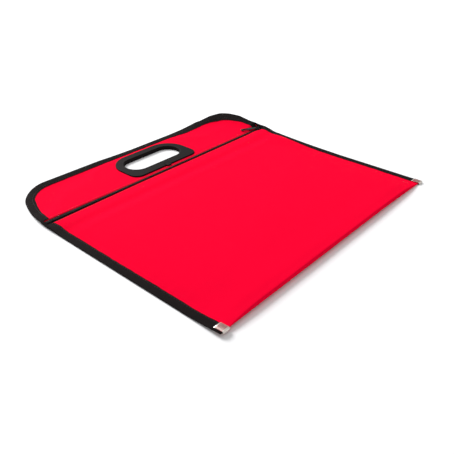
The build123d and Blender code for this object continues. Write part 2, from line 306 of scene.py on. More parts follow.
def curl_height(x, y, sizes):
    """The lift of the right edge, of which only a narrow curb is left at the zip's end."""
    inside = edge_distance(x, y)
    near_edge = np.clip(1 - inside / CURL_REACH, 0, 1)
    at_edge = np.clip(1 - inside / CURL_LIP, 0, 1)
    rise = 0.5 * near_edge**2 + 0.5 * at_edge**1.3
    curl = sizes.right_curl * np.interp(x - y, CURL_PLACES, CURL_SHARES) * rise
    at_zip = 1 - soft_step(np.abs(y - ZIP_LINE), *ZIP_DIP_STEP)
    curl = curl * (1 - at_zip * soft_step(inside, *CURB_STEP))
    return curl * soft_step(x, *CURL_STEP)


def sag_depth(x, y):
    """How far the header sinks from the zip's level towards the table."""
    beside = soft_step(np.abs(x - HOLE_X), *BESIDE_HOLE_STEP)
    far_left = soft_step(-x, *FAR_LEFT_STEP)
    start = FRAME_TOP_Y - SAG_BESIDE_HOLE[0] * beside - SAG_FAR_LEFT[0] * far_left
    run = SAG_RUN + SAG_BESIDE_HOLE[1] * beside + SAG_FAR_LEFT[1] * far_left
    inner = 1 - soft_step(x, *SAG_END_STEP)
    return (HEADER_BACK_UNDER - BINDING_CLOTH) * soft_step(y, start, run) * inner


def rim_height(x, y, sizes):
    """The lift of the top edge."""
    near_top = np.clip(1 - (TOP_EDGE - y) / RIM_REACH, 0, 1)
    return sizes.top_rim * np.interp(x, RIM_PLACES, RIM_SHARES) * near_top**2


def foot_height(x, y, sizes):
    """The lift of the bottom fold, greatest at its left corner."""
    near_foot = np.clip(1 - (y - FOLD_EDGE) / FOOT_REACH, 0, 1)
    corner = smooth(1 - np.hypot(x + SIDE, y - FOLD_EDGE) / FOOT_REACH)
    return sizes.foot_lift * (near_foot**2 * (1 - soft_step(x, *FOOT_END_STEP)) + 0.5 * corner)


def lift(x, y):
    """How far the bag curls up off the table, or sags down to it, at a place."""
    sizes = bpy.context.scene.zip_bag_sizes
    return curl_height(x, y, sizes) - sag_depth(x, y) + rim_height(x, y, sizes) + foot_height(x, y, sizes)


def end_bulge(x, y):
    """The swell of the front cloth beside the closed end of the zip."""
    sizes = bpy.context.scene.zip_bag_sizes
    across = (x - BULGE_MIDDLE[0]) / BULGE_SPREAD[0]
    along = (y - BULGE_MIDDLE[1]) / BULGE_SPREAD[1]
    return sizes.end_bulge * np.exp(-(across**2) - along**2)


def pressed(x, y, height):
    """A height near the side seams, where the pocket's edges are pressed thinner."""
    at_side = smooth(1 - (SIDE - np.abs(x)) / PRESS_REACH)
    press = PRESS_SHARE * at_side * soft_step(ZIP_LINE - y, *PRESS_STEP)
    return BINDING_UNDER + (height - BINDING_UNDER) * (1 - press)


def panel_inset(y):
    """How far the panels' side edges lie inside the outline, more beside the ends of the zip."""
    return PANEL_INSET + ZIP_END_INSET * (1 - soft_step(np.abs(y - ZIP_LINE), *ZIP_END_STEP))


def pucker(x, y):
    """Small gathers that the seam stitching leaves beside each side binding."""
    depth = np.exp(-((SIDE - 14 * MM - np.abs(x)) / (9 * MM)) ** 2)
    return 0.22 * MM * depth * ripple(y, x * 0.3, 5, 17 * MM)


def front_height(x, y):
    """Height of the front cloth's outer face."""
    sizes = bpy.context.scene.zip_bag_sizes
    seam = between(y, SEAM_RISE_PLACES, np.array([SEAM_TOP, HEADER_TOP]))
    inside = np.clip((SIDE - SWELL_INSET - np.abs(x)) / SWELL_RUN, 0, 1)
    across = 1 - (1 - inside) ** SWELL_FULLNESS
    along = between(y, SWELL_PLACES, SWELL_SHARES)
    wave = 0.2 * MM * across * ripple(x, y, 2, 150 * MM)
    swell = sizes.crown * across * along + end_bulge(x, y) + wave + pucker(x, y)
    return pressed(x, y, seam) + swell + lift(x, y)


def back_height(x, y):
    """Height of the back cloth's lower face."""
    return between(y, BACK_RISE_PLACES, np.array([BACK_UNDER, HEADER_BACK_UNDER])) + lift(x, y)


def header_height(x, y):
    """Height of the header cloth's upper face."""
    free = soft_step(y - ZIP_LINE, *HEADER_LOW_STEP) * soft_step(TOP_EDGE - y, *HEADER_TOP_STEP)
    wave = HEADER_WAVE * free * ripple(x, y, 7, 120 * MM)
    return HEADER_TOP + wave + lift(x, y)


# ---------------------------------------------------------------- shader helpers


class Signal:
    """One shader value, so that shader maths reads as Python."""

    def __init__(self, paint, socket):
        self.paint = paint
        self.socket = socket

    def __add__(self, other):
        return self.paint.math("ADD", self, other)

    def __sub__(self, other):
        return self.paint.math("SUBTRACT", self, other)

    def __rsub__(self, other):
        return self.paint.math("SUBTRACT", other, self)

    def __mul__(self, other):
        return self.paint.math("MULTIPLY", self, other)

    def __gt__(self, other):
        return self.paint.math("GREATER_THAN", self, other)

    def __abs__(self):
        return self.paint.math("ABSOLUTE", self)

    def sine(self):
        """The sine of this value, in radians."""
        return self.paint.math("SINE", self)

    __radd__ = __add__
    __rmul__ = __mul__


class Paint:
    """A new material and the nodes in it."""

    def __init__(self, name, roughness, specular=0.5, metallic=0.0, sheen=0.0, coat=0.0):
        self.material = bpy.data.materials.new(name)
        self.material.use_nodes = True
        self.tree = self.material.node_tree
        self.shader = self.tree.nodes["Principled BSDF"]
        settings = {
            "Roughness": roughness,
            "Specular IOR Level": specular,
            "Metallic": metallic,
            "Sheen Weight": sheen,
            "Sheen Roughness": 0.45,
            "Coat Weight": coat,
            "Coat Roughness": 0.12,
        }
        for socket, value in settings.items():
            self.shader.inputs[socket].default_value = value

    def node(self, kind, settings=None, **values):
        """Adds a node: its settings first, then the values or links of its sockets."""
        made = self.tree.nodes.new(kind)
        for key, value in (settings or {}).items():
            setattr(made, key, value)
        for key, value in values.items():
            self.feed(made.inputs[key], value)
        return made

    def feed(self, socket, value):
        """Links a value to a socket, or writes a constant on it."""
        if isinstance(value, Signal):
            self.tree.links.new(value.socket, socket)
        elif isinstance(value, bpy.types.NodeSocket):
            self.tree.links.new(value, socket)
        else:
            socket.default_value = value

    def math(self, operation, *values):
        """One step of shader maths."""
        made = self.tree.nodes.new("ShaderNodeMath")
        made.operation = operation
        for socket, value in zip(made.inputs, values):
            self.feed(socket, value)
        return Signal(self, made.outputs[0])

    def axes(self, source="Object"):
        """The parts of the object's own coordinates, or of its cloth map."""
        coordinates = self.node("ShaderNodeTexCoord")
        split = self.node("ShaderNodeSeparateXYZ", Vector=coordinates.outputs[source])
        return [Signal(self, out) for out in split.outputs]

    def noise(self, scale, detail=3.0):
        """Cloudy noise over the object, about 0 to 1."""
        place = self.node("ShaderNodeTexCoord").outputs["Object"]
        made = self.node("ShaderNodeTexNoise", Vector=place, Scale=scale, Detail=detail)
        return Signal(self, made.outputs[0])

    def colour(self, dark, light, share):
        """Mixes two colours by share into the base colour."""
        mix = self.node("ShaderNodeMix", {"data_type": "RGBA"})
        self.feed(mix.inputs[0], share)
        mix.inputs[6].default_value = (*dark, 1)
        mix.inputs[7].default_value = (*light, 1)
        self.feed(self.shader.inputs["Base Color"], mix.outputs[2])

    def bump(self, height, distance, strength=1.0):
        """Raises the surface by a height from 0 to 1 times distance, in its shading only."""
        made = self.node("ShaderNodeBump", Strength=strength, Distance=distance, Height=height)
        self.feed(self.shader.inputs["Normal"], made.outputs[0])

    def rough(self, value):
        """Feeds the roughness."""
        self.feed(self.shader.inputs["Roughness"], value)


def shade(colour, share):
    """A colour made darker or lighter by share."""
    return tuple(min(1.0, c * share) for c in colour[:3])


def weave(across, along, pitch):
    """The height of a plain weave: each thread passes over and under its neighbours."""
    warp = (across * (math.pi / pitch)).sine()
    weft = (along * (math.pi / pitch)).sine()
    over = (warp * weft) > 0
    return over * abs(warp) + (1 - over) * abs(weft)


def bag_cloth(name, colour):
    """Red polyester oxford cloth with its weave and a slight unevenness of dye."""
    paint = Paint(name, roughness=0.9, specular=0.01)
    across, along, _ = paint.axes("UV")
    yarn = weave(across, along, OXFORD_PITCH)
    dye = paint.noise(14.0)
    slub = paint.noise(900.0, 2.0)
    paint.colour(shade(colour, 0.8), shade(colour, 1.04), yarn * 0.55 + dye * 0.35 + slub * 0.2)
    paint.bump(yarn + slub * 0.5, 0.12 * MM, 0.7)
    paint.rough(0.92 - yarn * 0.14)
    return paint.material


def ribbed_tape(name, colour):
    """Black grosgrain: ribs right across the tape, every millimetre or so."""
    paint = Paint(name, roughness=0.85, specular=0.06)
    across, along, _ = paint.axes("UV")
    rib = (along * (math.tau / RIB_PITCH)).sine() * 0.5 + 0.5
    yarn = (across * (math.tau / RIB_THREAD)).sine() * 0.5 + 0.5
    wear = paint.noise(60.0)
    paint.colour(shade(colour, 0.55), shade(colour, 1.7), rib * 0.55 + yarn * 0.15 + wear * 0.3)
    paint.bump(rib + yarn * 0.2, 0.22 * MM)
    paint.rough(0.86 - rib * 0.2)
    return paint.material


def zip_cloth(name, colour):
    """Fine herringbone of the zip's tapes."""
    paint = Paint(name, roughness=0.85, specular=0.06)
    across, along, _ = paint.axes("UV")
    zigzag = abs((across * (math.pi / HERRINGBONE)).sine()) * HERRINGBONE
    twill = ((along + zigzag) * (math.tau / TWILL_PITCH)).sine() * 0.5 + 0.5
    paint.colour(shade(colour, 0.6), shade(colour, 1.8), twill)
    paint.bump(twill, 0.1 * MM)
    return paint.material


def thread(name, colour):
    """Twisted sewing thread."""
    paint = Paint(name, roughness=0.6, specular=0.3, sheen=0.1)
    x, y, z = paint.axes()
    twist = ((x + y + z) * (math.tau / TWIST_PITCH)).sine() * 0.5 + 0.5
    paint.colour(shade(colour, 0.7), shade(colour, 1.25), twist)
    paint.bump(twist, 0.05 * MM)
    return paint.material


def nylon(name, colour):
    """Black nylon of the zip's coils, a little shiny."""
    paint = Paint(name, roughness=0.38, specular=0.2)
    cloud = paint.noise(400.0)
    paint.colour(shade(colour, 0.8), shade(colour, 1.3), cloud)
    paint.rough(0.3 + cloud * 0.2)
    return paint.material


def moulded_plastic(name, colour):
    """Charcoal plastic with the fine grain of its mould."""
    paint = Paint(name, roughness=0.4, specular=0.06)
    grain = paint.noise(2600.0, 2.0)
    cloud = paint.noise(35.0)
    paint.colour(shade(colour, 0.86), shade(colour, 1.16), cloud * 0.7 + grain * 0.3)
    paint.bump(grain, 0.06 * MM, 0.6)
    paint.rough(0.44 + grain * 0.16 + cloud * 0.08)
    return paint.material


def plated_metal(name, colour):
    """Nickel plate with fine rubbing marks, and dark red painted as shade in the gaps between the clips'
    ribs and bars, where the metal's reflection is turned off.
    """
    paint = Paint(name, roughness=0.32, metallic=1.0)
    place = paint.node("ShaderNodeTexCoord").outputs["Object"]
    stretch = paint.node("ShaderNodeMapping", Vector=place, Scale=(120.0, 2600.0, 900.0))
    brushed = paint.node("ShaderNodeTexNoise", Vector=stretch.outputs[0], Scale=1.0, Detail=3.0)
    rub = Signal(paint, brushed.outputs[0])
    x, y, _ = paint.axes()
    between_ribs = abs(((y - CLIP_FIRST_RIB) * (math.pi / CLIP_PITCH)).sine())
    between_bars = abs((x * (math.pi / CLIP_PITCH)).sine())
    ribbed = (CLIP_LENGTH / 2 - abs(y - CLIP_MIDDLE)) > 0
    # Painted shade: the gaps between ribs and bars get a flat dark red colour and lose their metal
    # reflection
    gap = (between_ribs > CLIP_RIB_SHARE) * (between_bars > CLIP_BAR_SHARE) * ribbed
    plate = 1 - gap
    paint.colour(CLIP_GAP_SHADE, shade(colour, 1.12), plate * (0.88 + rub * 0.12))
    paint.feed(paint.shader.inputs["Metallic"], plate)
    paint.rough(0.24 + rub * 0.22)
    paint.bump(rub, 0.02 * MM, 0.5)
    return paint.material


def gloss_enamel(name, colour):
    """Black enamel on the slider and its puller."""
    paint = Paint(name, roughness=0.3, specular=0.3, coat=0.1)
    cloud = paint.noise(300.0)
    paint.colour(shade(colour, 0.8), shade(colour, 1.3), cloud)
    paint.rough(0.18 + cloud * 0.12)
    return paint.material


# ---------------------------------------------------------------- mesh helpers


def start_fresh():
    """Deselects everything, so that an operator acts on new geometry only."""
    bpy.ops.object.select_all(action="DESELECT")


def cloth_surface(name, across, along, place):
    """A grid laid out by place, which gives points and flat cloth places for shares u and v."""
    start_fresh()
    bpy.ops.mesh.primitive_grid_add(x_subdivisions=across, y_subdivisions=along, size=2)
    made = bpy.context.active_object
    made.name = name
    made.data.name = name
    mesh = made.data
    count = len(mesh.vertices)
    corners = np.empty(count * 3)
    mesh.vertices.foreach_get("co", corners)
    shares = (corners.reshape(-1, 3)[:, :2] + 1) / 2
    points, flat = place(shares[:, 0], shares[:, 1])
    mesh.vertices.foreach_set("co", np.stack(points, axis=1).ravel())
    loops = np.empty(len(mesh.loops), int)
    mesh.loops.foreach_get("vertex_index", loops)
    mesh.uv_layers[0].name = "cloth_map"
    mesh.uv_layers[0].data.foreach_set("uv", np.stack(flat, axis=1)[loops].ravel())
    mesh.update()
    return made


def thicken(made, thickness):
    """Gives a cloth surface its thickness, inwards from its outer face."""
    wall = made.modifiers.new("Wall", "SOLIDIFY")
    wall.thickness = thickness
    wall.offset = -1
    bpy.context.view_layer.objects.active = made
    bpy.ops.object.modifier_apply(modifier=wall.name)
    made.data.shade_smooth()


def cut_hand_hole(made, reach):
    """Opens a cloth around the hand hole, with its cut edge under the moulded frame."""
    radius = HOLE_RADIUS + reach
    shape = bmesh.new()
    shape.from_mesh(made.data)

    def offset(point):
        middle = HOLE_X + max(-HOLE_STRAIGHT, min(HOLE_STRAIGHT, point.x - HOLE_X))
        return point.x - middle, point.y - HOLE_Y, middle

    inside = [v for v in shape.verts if math.hypot(*offset(v.co)[:2]) < radius]
    bmesh.ops.delete(shape, geom=inside, context="VERTS")
    for v in shape.verts:
        dx, dy, middle = offset(v.co)
        away = math.hypot(dx, dy)
        if v.is_boundary and away < radius + HOLE_SNAP:
            v.co.x = middle + dx / away * radius
            v.co.y = HOLE_Y + dy / away * radius
    shape.to_mesh(made.data)
    shape.free()


def copies(name, model, places):
    """One mesh with a copy of model at each place, a 4 by 4 matrix. The model is used up."""
    count = len(model.data.vertices)
    points = np.empty(count * 3)
    model.data.vertices.foreach_get("co", points)
    points = np.column_stack([points.reshape(-1, 3), np.ones(count)])
    faces = [tuple(p.vertices) for p in model.data.polygons]
    all_points = np.concatenate([points @ place.T for place in places])[:, :3]
    all_faces = [tuple(i + n * count for i in face) for n in range(len(places)) for face in faces]
    mesh = bpy.data.meshes.new(name)
    mesh.from_pydata(all_points, [], all_faces)
    mesh.shade_smooth()
    made = bpy.data.objects.new(name, mesh)
    bpy.context.scene.collection.objects.link(made)
    bpy.data.objects.remove(model)
    return made


def facing(at, along, up):
    """The matrix that puts a model's X along a direction and its Z near up."""
    along = along / np.linalg.norm(along)
    side = np.cross(up, along)
    side = side / np.linalg.norm(side)
    place = np.eye(4)
    place[:3, 0] = along
    place[:3, 1] = side
    place[:3, 2] = np.cross(along, side)
    place[:3, 3] = at
    return place


def stitch_model():
    """One stitch, a short rounded length of thread along X."""
    start_fresh()
    bpy.ops.mesh.primitive_uv_sphere_add(segments=6, ring_count=5, radius=1)
    made = bpy.context.active_object
    bpy.ops.transform.resize(value=STITCH_SIZE)
    bpy.ops.object.transform_apply(location=False, rotation=False, scale=True)
    return made


def stitch_row(name, line, pitch, zip_room=0):
    """Stitches evenly along a line of points, none nearer to the zip line than zip_room."""
    steps = np.linalg.norm(np.diff(line, axis=0), axis=1)
    run = np.concatenate([[0], np.cumsum(steps)])
    number = int(run[-1] / pitch)
    at = (np.arange(number) + 0.5) * run[-1] / number
    points = np.stack([np.interp(at, run, line[:, k]) for k in range(3)], axis=1)
    ahead = np.stack([np.interp(at + 0.5 * MM, run, line[:, k]) for k in range(3)], axis=1)
    behind = np.stack([np.interp(at - 0.5 * MM, run, line[:, k]) for k in range(3)], axis=1)
    up = np.array([0.0, 0.0, 1.0])
    rows = [row for row in zip(points, ahead, behind) if abs(row[0][1] - ZIP_LINE) >= zip_room]
    places = [facing(point, after - before, up) for point, after, before in rows]
    return copies(name, stitch_model(), places)


def softened_copy(node, name, edge, segments=2):
    """A copy of a frame node with its sharp edges rounded over."""
    start_fresh()
    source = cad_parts[node]
    made = bpy.data.objects.new(name, source.data.copy())
    made.data.name = name
    bpy.context.scene.collection.objects.link(made)
    made.select_set(True)
    bpy.context.view_layer.objects.active = made
    made.data.materials.clear()
    bpy.ops.object.mode_set(mode="EDIT")
    bpy.ops.mesh.select_all(action="SELECT")
    bpy.ops.mesh.remove_doubles(threshold=WELD)
    bpy.ops.mesh.dissolve_limited(angle_limit=FLAT_ANGLE)
    bpy.ops.object.mode_set(mode="OBJECT")
    bevel = made.modifiers.new("Soft edges", "BEVEL")
    bevel.width = edge
    bevel.segments = segments
    bevel.limit_method = "ANGLE"
    bevel.angle_limit = SHARP_ANGLE
    bevel.use_clamp_overlap = True
    bpy.ops.object.modifier_apply(modifier=bevel.name)
    bpy.ops.object.shade_smooth_by_angle(angle=SMOOTH_ANGLE)
    return made


def finish_piece(made, body, slot, material, *nodes):
    """Gives a piece its finish and its place in the moving frame."""
    made.data.materials.clear()
    made.data.materials.append(material)
    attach(made, body)
    if nodes:
        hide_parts(*nodes)
    return made


def repaint(node, material):
    """Gives a frame node itself its finish."""
    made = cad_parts[node]
    made.data.materials.clear()
    made.data.materials.append(material)


def paint_once(maker, name, colour):
    """The named material, made the first time that it is asked for."""
    return bpy.data.materials.get(name) or maker(name, colour)


# ---------------------------------------------------------------- sizes and colours


class ZIPBAG_PG_sizes(bpy.types.PropertyGroup):
    """Sizes that a maker of the bag would change"""

    crown: bpy.props.FloatProperty(
        name="Crown", description="How far the front cloth stands up", default=5 * MM, unit="LENGTH"
    )
    right_curl: bpy.props.FloatProperty(
        name="Right curl", description="Greatest lift of the right edge", default=12.6 * MM, unit="LENGTH"
    )
    top_rim: bpy.props.FloatProperty(
        name="Top rim", description="Lift of the top edge", default=2.3 * MM, unit="LENGTH"
    )
    foot_lift: bpy.props.FloatProperty(
        name="Foot lift", description="Lift of the bottom fold", default=1.8 * MM, unit="LENGTH"
    )
    end_bulge: bpy.props.FloatProperty(
        name="End bulge", description="Bulge of the cloth at the zip's end", default=4 * MM, unit="LENGTH"
    )
    binding_width: bpy.props.FloatProperty(
        name="Binding width", description="Visible width of the binding", default=9.6 * MM, unit="LENGTH"
    )
    left_half_gap: bpy.props.FloatProperty(
        name="Left half gap", description="Zip line to hem, left end", default=4.2 * MM, unit="LENGTH"
    )
    right_half_gap: bpy.props.FloatProperty(
        name="Right half gap", description="Zip line to hem, right end", default=2.4 * MM, unit="LENGTH"
    )
    tooth_pitch: bpy.props.FloatProperty(
        name="Tooth pitch", description="From one tooth to the next", default=1.27 * MM, unit="LENGTH"
    )
    stitch_pitch: bpy.props.FloatProperty(
        name="Stitch pitch", description="From one stitch to the next", default=3.1 * MM, unit="LENGTH"
    )


def colour_setting(label, text, value):
    """A colour that the panel shows."""
    return bpy.props.FloatVectorProperty(
        name=label, description=text, default=value, subtype="COLOR", size=3, min=0, max=1
    )


class ZIPBAG_PG_colours(bpy.types.PropertyGroup):
    """Colours of the bag's cloth, tapes, metal and plastic"""

    cloth: colour_setting("Cloth", "Red cloth of the panels", (0.95, 0.0008, 0.032))
    binding: colour_setting("Binding", "Black edge binding", (0.007, 0.0045, 0.0045))
    zip_tape: colour_setting("Zip tape", "Black woven zip tape", (0.005, 0.004, 0.004))
    coil: colour_setting("Coil", "Black nylon coil", (0.005, 0.004, 0.004))
    metal: colour_setting("Metal", "Nickel plate of the clips", (0.72, 0.68, 0.62))
    enamel: colour_setting("Enamel", "Black slider enamel", (0.004, 0.004, 0.0045))
    plastic: colour_setting("Plastic", "Charcoal hand hole frames", (0.006, 0.004, 0.0042))
    floor: colour_setting("Floor", "Pale table", (0.93, 0.93, 0.94))


def sizes_of(context):
    """The bag's size settings."""
    return context.scene.zip_bag_sizes


def colours_of(context):
    """The bag's colour settings."""
    return context.scene.zip_bag_colours


# ---------------------------------------------------------------- cloth pieces


def hem_gap(x, sizes):
    """Distance from the zip line to a hem, which closes up towards the right."""
    share = smooth((x + SIDE) / HEM_CLOSING)
    return sizes.left_half_gap + (sizes.right_half_gap - sizes.left_half_gap) * share


def red_cloth(context):
    """The material of the pocket and the header."""
    return paint_once(bag_cloth, "red oxford cloth", colours_of(context).cloth)


def fold_levels(x):
    """The middle, the half height and the depth of the bottom fold."""
    near_fold = np.full_like(x, FOLD_EDGE + FOLD_SAMPLE)
    top = front_height(x, near_fold)
    low = back_height(x, near_fold)
    rise = (top - low) / 2
    return (top + low) / 2, rise, np.minimum(0.8 * rise + 0.3 * MM, FOLD_MOST_DEPTH)


class ZIPBAG_OT_pocket_cloth(bpy.types.Operator):
    """Lay the one red cloth that makes the back, the bottom fold and the front"""

    bl_idname = "zip_bag.pocket_cloth"
    bl_label = "Pocket cloth"

    def execute(self, context):
        sizes = sizes_of(context)
        top = CLOTH_TOP_EDGE

        def place(u, v):
            side = 2 * u - 1
            x = side * PANEL_SIDE
            middle, rise, depth = fold_levels(x)
            tuck = TUCK * soft_step(np.abs(x) - SIDE, *TUCK_STEP)
            fold_y = FOLD_EDGE + 0.15 * MM + depth + tuck
            back = np.clip(v / FOLD_START, 0, 1)
            fold = np.clip((v - FOLD_START) / (FOLD_END - FOLD_START), 0, 1)
            front = np.clip((v - FOLD_END) / (1 - FOLD_END), 0, 1)
            is_back = v <= FOLD_START
            is_front = v >= FOLD_END

            back_y = top + (fold_y - top) * back
            back_x = side * half_width(back_y, PANEL_INSET)

            turn = math.pi * (1.5 - fold)
            round_y = fold_y + depth * np.cos(turn)
            round_z = middle + rise * np.sin(turn)

            hem = ZIP_LINE - hem_gap(x, sizes)
            front_y = fold_y + (hem - fold_y) * front
            front_x = side * (SIDE - panel_inset(front_y))
            front_z = front_height(front_x, front_y) - HEM_ROLL * soft_step(front, *FRONT_ROLL_STEP)
            blend_in = smooth((front_y - fold_y) / FOLD_BLEND)
            front_z = middle + rise + (front_z - middle - rise) * blend_in

            px = np.where(is_back, back_x, np.where(is_front, front_x, x))
            py = np.where(is_back, back_y, np.where(is_front, front_y, round_y))
            pz = np.where(is_back, back_height(back_x, back_y), np.where(is_front, front_z, round_z))
            to_fold = np.where(is_back, top - back_y, top - fold_y)
            run = to_fold + fold * FOLD_RUN + np.where(is_front, front_y - fold_y, 0)
            return (px, py, pz), (px, run)

        made = cloth_surface("pocket_cloth", 150, 260, place)
        cut_hand_hole(made, COLLAR_REACH)
        thicken(made, CLOTH_SHARE * CLOTH)
        finish_piece(made, "bag", "bag_cloth", red_cloth(context), "front_panel", "back_panel")
        run = 2 * (top - FOLD_EDGE) - (top - ZIP_LINE) + FOLD_ALLOWANCE
        1.92 * PANEL_SIDE * run
        return {"FINISHED"}


class ZIPBAG_OT_header_cloth(bpy.types.Operator):
    """Lay the red cloth of the header, above the zip"""

    bl_idname = "zip_bag.header_cloth"
    bl_label = "Header cloth"

    def execute(self, context):
        sizes = sizes_of(context)

        def place(u, v):
            side = 2 * u - 1
            hem = ZIP_LINE + hem_gap(side * PANEL_SIDE, sizes)
            y = hem + (CLOTH_TOP_EDGE - hem) * v
            x = side * half_width(y, panel_inset(y))
            roll = HEM_ROLL * smooth(1 - v / HEADER_ROLL_SHARE)
            return (x, y, header_height(x, y) - roll), (x, y)

        made = cloth_surface("header_cloth", 150, 50, place)
        cut_hand_hole(made, COLLAR_REACH)
        thicken(made, CLOTH_SHARE * CLOTH)
        finish_piece(made, "bag", "bag_cloth", red_cloth(context), "header_panel")
        deep = CLOTH_TOP_EDGE - ZIP_LINE
        1.8 * PANEL_SIDE * deep
        return {"FINISHED"}


def outline_walk(share, inset):
    """Points moved in from the bound edge, and how far along it, from the left foot to the right."""
    flank_run = FLANK_RADIUS * FLANK_TURN
    corner_run = SHOULDER_RADIUS * (math.pi / 2 - FLANK_TURN)
    side_run = FLANK_Y - FOLD_EDGE
    runs = np.array([side_run, flank_run, corner_run, SHOULDER_X])
    ends = np.cumsum(runs)
    half = ends[-1]
    walk = share * 2 * half
    mirrored = walk > half
    walk = np.where(mirrored, 2 * half - walk, walk)
    first = np.clip((walk - ends[0]) / flank_run, 0, 1) * FLANK_TURN
    second = np.clip((walk - ends[1]) / corner_run, 0, 1) * (math.pi / 2 - FLANK_TURN)
    angle = first + second
    on_side = walk < ends[0]
    on_flank = walk < ends[1]
    on_corner = walk < ends[2]
    radius = np.where(on_flank, FLANK_RADIUS, SHOULDER_RADIUS) - inset
    centre_x = np.where(on_flank, FLANK_X, np.where(on_corner, SHOULDER_X, ends[3] - walk))
    centre_y = np.where(on_side, FOLD_EDGE + walk, np.where(on_flank, FLANK_Y, SHOULDER_Y))
    x = centre_x + radius * np.cos(angle)
    y = centre_y + radius * np.sin(angle)
    x = np.where(on_corner, x, centre_x)
    sign = np.where(mirrored, 1, -1)
    return x * sign, y, share * 2 * half


def binding_levels(x, y):
    """Heights of the binding's lower and upper faces at a place."""
    low = between(y, BACK_RISE_PLACES, np.array([BINDING_UNDER, HEADER_BACK_UNDER - BINDING_CLOTH]))
    high = between(y, SEAM_RISE_PLACES, np.array([SEAM_TOP + BINDING_CLOTH, BINDING_TOP]))
    curl = lift(x, y)
    return low + curl, pressed(x, y, high) + end_bulge(x, y) + curl


def binding_edge(run):
    """How far the binding's inner edge wanders from a straight line."""
    return 0.35 * MM * ripple(run, run * 0, 3, 46 * MM) + 0.25 * MM * ripple(run, run * 0, 8, 13 * MM)


def binding_stitching(sizes, material):
    """The rows of stitches through the binding, one seen from above and one from below."""
    share = np.linspace(0.006, 0.994, 1500)
    x, y, _ = outline_walk(share, STITCH_SHARE * sizes.binding_width)
    low, high = binding_levels(x, y)
    rows = []
    for side, height in (("top", high + 0.05 * MM), ("under", low - 0.02 * MM)):
        line = np.stack([x, y, height], axis=1)
        row = stitch_row(f"binding_stitches_{side}", line, sizes.stitch_pitch, BAY_STITCH_ROOM)
        rows.append(finish_piece(row, "bag", "binding_tape", material))
    return rows


class ZIPBAG_OT_edge_tape(bpy.types.Operator):
    """Fold the ribbed binding tape over the edges and stitch it down"""

    bl_idname = "zip_bag.edge_tape"
    bl_label = "Edge binding"

    def execute(self, context):
        sizes = sizes_of(context)
        width = sizes.binding_width

        def place(u, v):
            edge_x, edge_y, run = outline_walk(v, 0)
            wide = np.interp(edge_x, LEAF_PLACES, LEAF_SHARES) * soft_step(edge_y, *LEAF_STEP)
            leaf = width * (1 + wide) + binding_edge(run)
            bay = 1 - soft_step(np.abs(edge_y - ZIP_LINE), SLIDER_BAY / 2, BAY_SLOPE)
            upper_leaf = leaf - (leaf - TURN_ROOM - 0.3 * MM) * bay
            is_lower = u < LOWER_LEAF_END
            is_upper = u > UPPER_LEAF_START
            lower = np.clip(u / LOWER_LEAF_END, 0, 1)
            upper = np.clip((u - UPPER_LEAF_START) / (1 - UPPER_LEAF_START), 0, 1)
            turned = np.clip((u - LOWER_LEAF_END) / (UPPER_LEAF_START - LOWER_LEAF_END), 0, 1)
            turn = turned * math.pi - math.pi / 2

            under_inset = TURN_ROOM + (leaf - TURN_ROOM) * (1 - lower)
            upper_inset = TURN_ROOM + (upper_leaf - TURN_ROOM) * upper
            turn_inset = TURN_ROOM * (1 - np.cos(turn))
            inset = np.where(is_lower, under_inset, np.where(is_upper, upper_inset, turn_inset))

            x, y, _ = outline_walk(v, inset)
            low, high = binding_levels(x, y)
            swell = TAPE_SWELL * np.sin(math.pi * np.clip(upper / 0.8, 0, 1))
            pinch = STITCH_PINCH * np.exp(-(((upper - 0.82) / 0.07) ** 2))
            wobble = TAPE_WOBBLE * ripple(run, inset, 4, 9 * MM)
            top = high + (swell - pinch + wobble) * soft_step(edge_y - FOLD_EDGE, *CLIP_GRIP_STEP)
            round_z = (low + high) / 2 + (high - low) / 2 * np.sin(turn)
            z = np.where(is_lower, low, np.where(is_upper, top, round_z))
            return (x, y, z), (u * TAPE_WIDTHS * width, run)

        made = cloth_surface("edge_tape", 26, 720, place)
        thicken(made, CLOTH_SHARE * BINDING_CLOTH)
        black = paint_once(ribbed_tape, "black grosgrain tape", colours_of(context).binding)
        finish_piece(made, "bag", "binding_tape", black, "edge_binding")

        dark = paint_once(thread, "black thread", colours_of(context).binding)
        rows = binding_stitching(sizes, dark)
        length = float(outline_walk(np.array([1.0]), 0)[2][0])
        return {"FINISHED"}


# ---------------------------------------------------------------- zip


def zip_tape(label, node, direction, material):
    """One woven tape of the zip, flat beside the zip line."""

    def place(u, v):
        x = (2 * u - 1) * TAPE_HALF_LENGTH
        start = ZIP_LINE + (ZIP_GAP / 2 if direction > 0 else -ZIP_GAP / 2 - HALF_TAPE)
        y = start + v * HALF_TAPE
        return (x, y, np.full_like(x, TAPE_TOP)), (y, x)

    tape = cloth_surface(f"zip_tape_{label}", 120, 10, place)
    thicken(tape, TAPE_TOP - TAPE_UNDER)
    finish_piece(tape, "bag", "zip_tape", material, f"zip_tape_{node}")


def tooth_model():
    """One tooth of the zip, a flattened ring of nylon wire."""
    start_fresh()
    bpy.ops.mesh.primitive_torus_add(
        major_segments=12, minor_segments=5, major_radius=TOOTH_RADIUS, minor_radius=TOOTH_WIRE
    )
    made = bpy.context.active_object
    bpy.ops.transform.resize(value=TOOTH_SCALE)
    bpy.ops.object.transform_apply(location=False, rotation=False, scale=True)
    return made


def zip_teeth(label, node, direction, pitch, material):
    """One coil of the zip, with a leaning tooth at every pitch."""
    number = int(2 * COIL_HALF_LENGTH / pitch) - 1
    y = ZIP_LINE + direction * TOOTH_OFFSET
    z = (TAPE_TOP + COIL_TOP) / 2
    lean = TOOTH_LEAN * direction
    across = np.array([math.sin(lean), math.cos(lean), 0.0])
    axle = np.array([math.cos(lean), -math.sin(lean), 0.0])
    along = -COIL_HALF_LENGTH + (np.arange(number) + 1 - direction / 4) * pitch
    places = [facing(np.array([x, y, z]), across, axle) for x in along]
    teeth = copies(f"zip_teeth_{label}", tooth_model(), places)
    finish_piece(teeth, "bag", "zip_coil", material, f"zip_coil_{node}")


